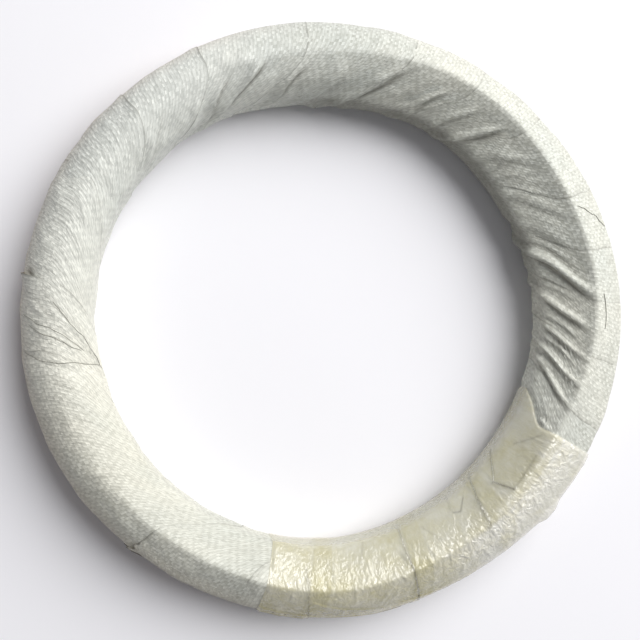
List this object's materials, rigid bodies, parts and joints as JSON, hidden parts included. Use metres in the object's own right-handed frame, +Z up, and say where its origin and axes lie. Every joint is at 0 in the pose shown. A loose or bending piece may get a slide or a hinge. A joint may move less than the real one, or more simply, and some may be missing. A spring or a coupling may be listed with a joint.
{
  "type": "wrapped wire coil",
  "caption": "Ring-shaped coil of wire bound all round with an overlapping strip of off-white woven cloth, part of the ring taped over with clear yellowish tape, open round eye in the middle.",
  "frame": {"origin": "middle of the eye, on the floor that the coil lies on", "axes": "+Z up through the eye, +X and +Y in the floor plane, +X to the right of the picture and +Y to its top"},
  "size_m": [0.3968, 0.3964, 0.0488],
  "materials": {
    "steel_wire": "drawn steel wire, hidden under the cloth",
    "woven_cloth": "plain weave of flat off-white polypropylene tapes",
    "clear_tape": "clear slightly yellow packing tape, creased"
  },
  "bodies": {
    "root": {"wire_coil": "steel_wire", "woven_wrap": "woven_cloth", "clear_tape": "clear_tape"}
  },
  "joints": []
}
